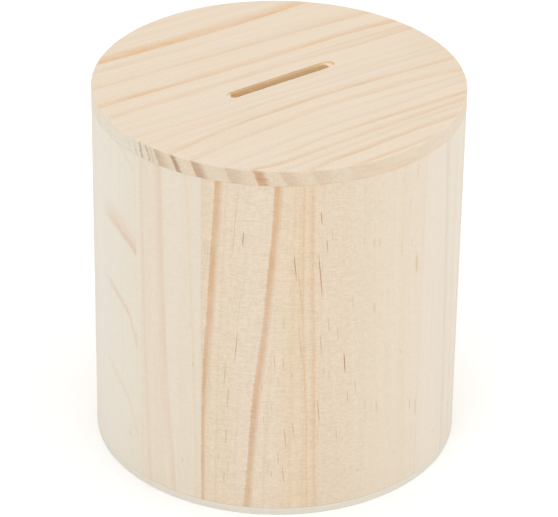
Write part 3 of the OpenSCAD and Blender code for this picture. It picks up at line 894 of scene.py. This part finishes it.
def build_stave(k, mat):
    a0, a1 = JOINTS[k] + SIDE, JOINTS[k + 1] + SIDE
    rng = np.random.default_rng(500 + k)
    e = math.degrees(0.08 / R)
    m = max(26, int((a1 - a0) / 0.8))
    angs = np.concatenate([[a0, a0 + e * 0.45, a0 + e], np.linspace(a0 + e * 4, a1 - e * 4, m), [a1 - e, a1 - e * 0.45, a1]])
    dip = np.zeros(len(angs))
    dip[[0, -1]], dip[[1, -2]] = 0.028, 0.008
    ph = rng.uniform(0, 6.28, 4)
    ca, sa = np.cos(angs * DEG), np.sin(angs * DEG)
    zs = [BASE_Z, BASE_Z + 0.03, BASE_Z + 0.1] + list(np.arange(BASE_Z + 0.5, LID_Z - 0.5, 0.62)) + [LID_Z - 0.1, LID_Z - 0.03, LID_Z]
    ins = {0: 0.05, 1: 0.02, 2: 0.0, len(zs) - 3: 0.0, len(zs) - 2: 0.02, len(zs) - 1: 0.05}
    loops = []
    for j, z in enumerate(zs):
        # faint ripple of the turning tool, the same all round, and each board's own slight swell
        rip = 0.006 * math.sin(z * 2 * math.pi / 1.86) + 0.006 * math.sin(z * 2 * math.pi / 2.9 + 1)
        swell = 0.007 * np.sin((angs - a0) / (a1 - a0) * math.pi + ph[0] * 0) * math.cos(z * 0.05 + ph[1])
        ro = R - 0.029 + rip + swell - dip - ins.get(j, 0.0)
        ri = np.full(len(angs), BORE + 0.0)
        o = np.stack([ro * ca, ro * sa, np.full(len(angs), z)], 1)
        i = np.stack([ri * ca, ri * sa, np.full(len(angs), z)], 1)[::-1]
        loops.append(np.concatenate([o, i]))
    n = len(loops[0])
    c = len(angs)
    verts = np.concatenate(loops) * MM
    faces = []
    for j in range(len(loops) - 1):
        for i in range(n):
            q = (i + 1) % n
            faces.append((j * n + i, j * n + q, (j + 1) * n + q, (j + 1) * n + i))
    last = (len(loops) - 1) * n
    for i in range(c - 1):
        faces.append((i + 1, i, n - 1 - i, n - 2 - i))
        faces.append((last + i, last + i + 1, last + n - 2 - i, last + n - 1 - i))
    ob = make_object("stave_%02d_board" % (k + 1), verts, faces, mat)
    face_out(ob)
    return ob


def build_base(mat):
    n = 720
    th = np.linspace(0, 2 * np.pi, n, endpoint=False)
    circ = np.stack([np.cos(th), np.sin(th), np.zeros(n)], 1)

    def rg(r, z):
        p = circ * np.broadcast_to(r, n)[:, None]
        p[:, 2] = z
        return p

    # the recess's outline with its thumbnail notch at -Y
    rec = np.full(n, REC_R)
    cy, nr = REC_R + 1.0, 5.0
    d = np.abs(np.angle(np.exp(1j * (th + math.pi / 2))))
    hit = d < math.acos((REC_R ** 2 + cy ** 2 - nr ** 2) / (2 * REC_R * cy))
    rec[hit] = cy * np.cos(d[hit]) + np.sqrt(nr ** 2 - (cy * np.sin(d[hit])) ** 2)
    hz = BASE_HEAD
    loops = [rg(OUT_R, z) for z in np.linspace(BASE_Z + 0.2, hz - 0.2, 5)]
    loops += [rg(OUT_R + 0.2 * (1 - math.cos(a)), hz - 0.2 * (1 - math.sin(a))) for a in np.linspace(0, math.pi / 2, 4)[1:]]
    loops += [rg(r, hz) for r in np.linspace(OUT_R + 1.0, REG - 0.6, 22)]
    loops += [rg(REG - 0.2 * (1 - math.sin(a)), hz - 0.2 * (1 - math.cos(a))) for a in np.linspace(0, math.pi / 2, 4)]
    loops += [rg(REG, z) for z in np.linspace(hz - 0.6, BASE_Z + 0.2, 4)]
    loops += [rg(REG, BASE_Z), rg(REG + 2.5, BASE_Z), rg(R - 1.0, BASE_Z)]
    b = 0.08 * (1 + 0.4 * smooth_noise(n, 19, 50))
    loops += [rg(R - 0.014 - b * (1 - math.sin(a)), BASE_Z - b * (1 - math.cos(a))) for a in np.linspace(0, math.pi / 2, 4)]
    loops += [rg(R - 0.014 - 0.004 * np.sin(th * 23 + z * 5), z) for z in np.linspace(BASE_Z - 0.3, 0.6, 5)]
    e = 0.2 * (1 + 0.15 * smooth_noise(n, 21, 30))
    loops += [rg(R - 0.014 - e * (1 - math.cos(a)), e * (1 - math.sin(a))) for a in np.linspace(0.15, math.pi / 2, 6)]
    outer, inner = rg(R - 0.5, 0.0), rg(rec + 0.45, 0.0)
    loops += [outer * (1 - t) + inner * t for t in np.linspace(0, 1, 30)]
    loops += [rg(rec + 0.22 * (1 - math.sin(a)), 0.22 * (1 - math.cos(a))) for a in np.linspace(0, math.pi / 2, 5)]
    loops += [rg(rec, z) for z in np.linspace(0.6, BASE_Z - 0.15, 4)]
    loops += [rg(rec - 0.08, BASE_Z - 0.02), rg(rec - 0.25, BASE_Z)]
    loops += [rg(rec, BASE_Z) * (1 - t) + rg(OUT_R + 0.25, BASE_Z) * t for t in (0.3, 0.6, 1.0)]
    loops += [rg(OUT_R + 0.12, BASE_Z + 0.015), rg(OUT_R + 0.03, BASE_Z + 0.08)]
    ob = skin("base_plate", loops, mat, closed=True)
    face_out(ob)
    return ob


def build_stopper(mat):
    n = 240
    f, b, t = FL_Z, BASE_Z, STP_TOP
    prof = [(0.25, f + 0.12), (0.8, f + 0.12), (1.15, f + 0.16), (1.3, f + 0.27), (1.5, f + 0.3)]           # moulding gate
    prof += [(r, f + 0.3) for r in (3, 5.0, 6.9)]
    prof += [(7.1, f + 0.24), (7.3, f + 0.2), (7.7, f + 0.2), (7.9, f + 0.24), (8.1, f + 0.3), (9.5, f + 0.3), (10.8, f + 0.3)]
    prof += [(11.1, f + 0.27), (11.4, f + 0.1), (11.6, f + 0.03), (11.9, f)]
    prof += [(r, f) for r in (13, 14.5, 16, FL_R - 0.6)]
    prof += [(FL_R - 0.35 + 0.35 * math.sin(a), f + 0.35 * (1 - math.cos(a))) for a in np.linspace(0.2, math.pi / 2, 5)]
    prof += [(FL_R, b - 0.5), (FL_R, b - 0.2), (FL_R - 0.05, b - 0.06), (FL_R - 0.2, b)]
    prof += [(16.5, b), (SHANK_R + 0.35, b), (SHANK_R + 0.1, b + 0.06), (SHANK_R, b + 0.3)]
    prof += [(SHANK_R, z) for z in np.linspace(b + 0.9, t - 1.15, 6)]
    prof += [(SHANK_R - 0.06, t - 0.9), (SHANK_R - 0.72, t - 0.12), (SHANK_R - 0.9, t)]
    i = SHANK_R - 2.2
    prof += [(SHANK_R - 1.6, t), (i + 0.25, t), (i + 0.07, t - 0.07), (i, t - 0.3)]
    prof += [(i, z) for z in np.linspace(t - 1.0, b + 1.2, 5)]
    prof += [(i - 0.15, b + 0.75), (i - 0.5, b + 0.46), (i - 1.0, b + 0.4)]
    prof += [(r, b + 0.4) for r in (9, 6, 3, 1)]
    loops = [ring(r, z, n) for r, z in prof]
    ob = skin("stopper_plug", loops, mat, caps=(True, True))
    face_out(ob)
    return ob


lid = build_lid(lid_material())
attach(lid, "box")
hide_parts("lid_disc")
for k in range(11):
    ob = build_stave(k, stave_material(k))
    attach(ob, "box")
    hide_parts("stave_%02d" % (k + 1))
base = build_base(base_material())
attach(base, "box")
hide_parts("base_disc")
plug = build_stopper(stopper_material())
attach(plug, "stopper")
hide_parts("stopper")

# ---------------------------------------------------------------- floor, light, camera
fg = G("pale_floor")
FP = fg.coords()
fn = fg.noise(FP, 0.02, 3.0, 0.5)
fcol = fg.mix(fg.madd(fn, 0.5, 0.5, clamp=True), (0.975, 0.975, 0.975), (0.985, 0.985, 0.985))
fg.finish(fcol, fg.madd(fn, 0.05, 0.8), None, 0.1)
bpy.ops.mesh.primitive_plane_add(size=6.0, location=(0, 0, -0.00003))
floor = bpy.context.object
floor.name = "floor"
floor.data.materials.append(fg.mat)

world = bpy.data.worlds.new("studio")
scene.world = world
world.use_nodes = True
bg = world.node_tree.nodes["Background"]
bg.inputs[0].default_value = (1.0, 1.0, 1.0, 1.0)
bg.inputs[1].default_value = 1.08


def area(name, loc, aim, size, power):
    d = bpy.data.lights.new(name, "AREA")
    d.shape, d.size, d.energy = "DISK", size, power
    o = bpy.data.objects.new(name, d)
    scene.collection.objects.link(o)
    o.location = loc
    o.rotation_mode = "QUATERNION"
    o.rotation_quaternion = (Vector(aim) - Vector(loc)).to_track_quat("-Z", "Y")
    return o


area("key", (-1.5, -0.7, 1.7), (0, 0, 0.05), 1.1, 5.5)
area("fill", (1.1, -1.5, 1.2), (0, 0, 0.05), 1.3, 4.5)

cam_data = bpy.data.cameras.new("camera")
cam = bpy.data.objects.new("camera", cam_data)
scene.collection.objects.link(cam)
cam_data.sensor_width, cam_data.lens = 36.0, 202.8213
cam_data.clip_start, cam_data.clip_end = 0.02, 20.0
right = Vector((0.8024383454180157, -0.5966053442176703, 0.012440460349683831))
up = Vector((0.2915710959523702, 0.41018423616640387, 0.8641384081301546))
back = Vector((-0.5206524731602941, -0.68979051577381, 0.5031004338505091))
rot = Matrix((right, up, back)).transposed()
cam.matrix_world = Matrix.Translation((-0.44869906069460863, -0.5954437649607224, 0.4846105992548658)) @ rot.to_4x4()
scene.camera = cam
scene.view_settings.view_transform = "Standard"
scene.view_settings.look = "None"
